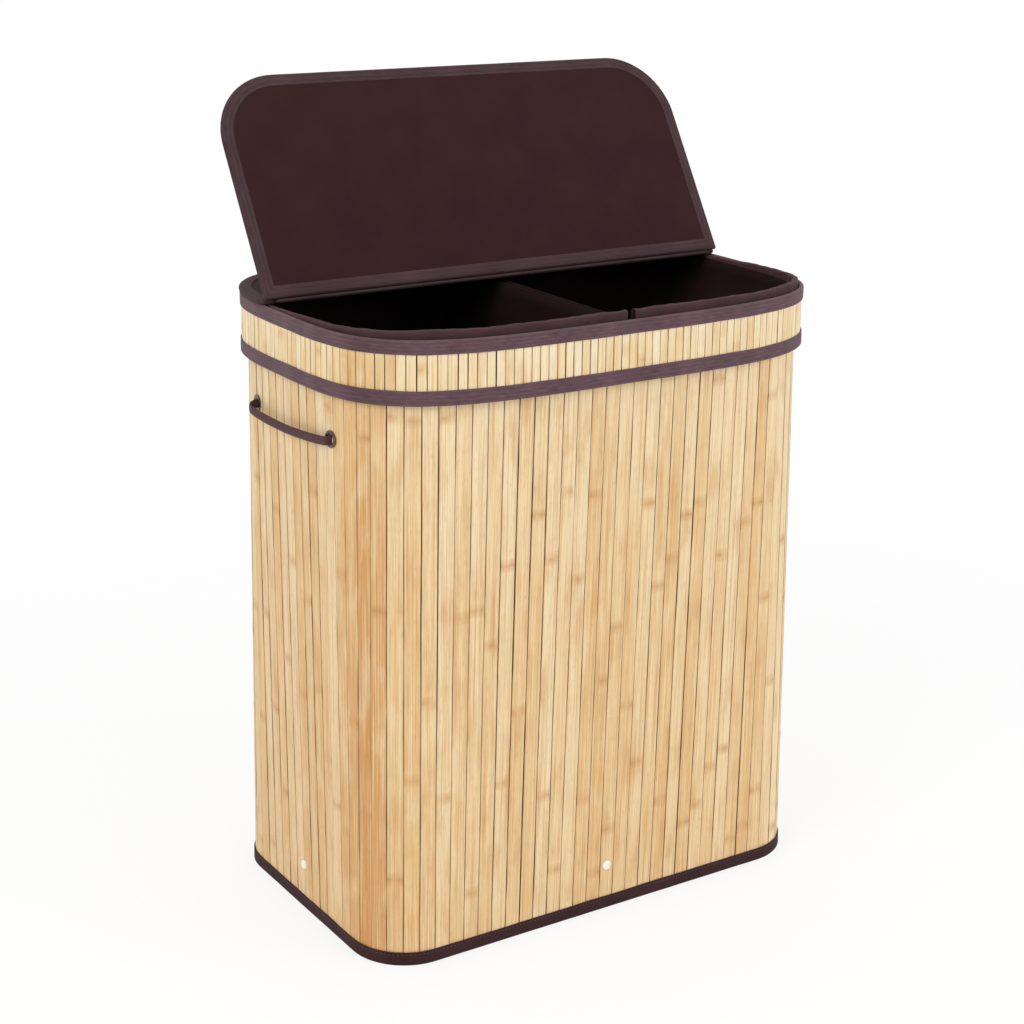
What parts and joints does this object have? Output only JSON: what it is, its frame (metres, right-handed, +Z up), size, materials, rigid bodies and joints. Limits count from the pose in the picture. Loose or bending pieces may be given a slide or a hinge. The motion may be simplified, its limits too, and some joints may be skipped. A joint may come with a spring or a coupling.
{
  "type": "laundry hamper with two bins",
  "caption": "Upright hamper of bamboo slats with two cloth bins inside, a lift-off collar lid and a hinged flap.",
  "frame": {"origin": "middle of the base board's underside, on the floor", "axes": "+X to the hamper's right side seen from the front, +Y to the back, +Z up"},
  "size_m": [0.5524, 0.3762, 0.827],
  "materials": {
    "bamboo_slats": "satin, fine lengthwise grain",
    "pale_bamboo_slats": "satin, fine lengthwise grain",
    "binding_cloth": "matt woven polyester tape",
    "liner_cloth": "matt woven polyester",
    "lid_cloth": "matt woven polyester",
    "backing_cloth": "matt cloth",
    "fibreboard": "smooth hardboard",
    "white_plastic": "satin moulded",
    "nickel": "polished nickel plate",
    "steel_wire": "bright drawn"
  },
  "bodies": {
    "hamper": {"wall_slats": "bamboo_slats", "foot_binding": "binding_cloth", "rim_binding": "binding_cloth", "liner_left": "liner_cloth", "liner_right": "liner_cloth", "liner_cuff_left": "liner_cloth", "liner_cuff_right": "liner_cloth", "divider_sleeve": "liner_cloth", "wall_backing": "backing_cloth", "wall_seam_tape": "backing_cloth", "base_board": "fibreboard", "base_tab_front": "fibreboard", "base_tab_right": "fibreboard", "base_tab_back": "fibreboard", "base_tab_left": "fibreboard", "base_rivet_front": "white_plastic", "base_rivet_right": "white_plastic", "base_rivet_back": "white_plastic", "base_rivet_left": "white_plastic", "rivet_lock_front": "white_plastic", "rivet_lock_right": "white_plastic", "rivet_lock_back": "white_plastic", "rivet_lock_left": "white_plastic", "eyelet_left_front": "nickel", "eyelet_left_rear": "nickel", "eyelet_right_front": "nickel", "eyelet_right_rear": "nickel", "liner_frame_left": "steel_wire", "liner_frame_right": "steel_wire", "divider_rod": "steel_wire"},
    "handle_left": {"handle_left": "binding_cloth"},
    "handle_right": {"handle_right": "binding_cloth"},
    "lid": {"collar_slats": "pale_bamboo_slats", "collar_backing": "backing_cloth", "collar_upper_binding": "binding_cloth", "collar_lower_binding": "binding_cloth", "rear_board": "fibreboard", "rear_cover": "lid_cloth", "rear_lining": "lid_cloth", "rear_binding": "binding_cloth", "rear_seam_cloth": "binding_cloth", "hinge_fold": "binding_cloth"},
    "flap": {"flap_board": "fibreboard", "flap_cover": "lid_cloth", "flap_lining": "lid_cloth", "flap_binding": "binding_cloth"}
  },
  "joints": [
    {"name": "lid_lift", "type": "slide", "parent": "hamper", "child": "lid", "axis": [0, 0, 1], "range_m": [0, 0.09]},
    {"name": "flap_hinge", "type": "hinge", "parent": "lid", "child": "flap", "pos_m": [0, 0.038, 0.6239], "axis": [-1, 0, 0], "range_deg": [-118.8, 0]},
    {"name": "handle_pull_left", "type": "slide", "parent": "hamper", "child": "handle_left", "axis": [-1, 0, 0], "range_m": [0, 0.012]},
    {"name": "handle_pull_right", "type": "slide", "parent": "hamper", "child": "handle_right", "axis": [1, 0, 0], "range_m": [0, 0.012]}
  ]
}
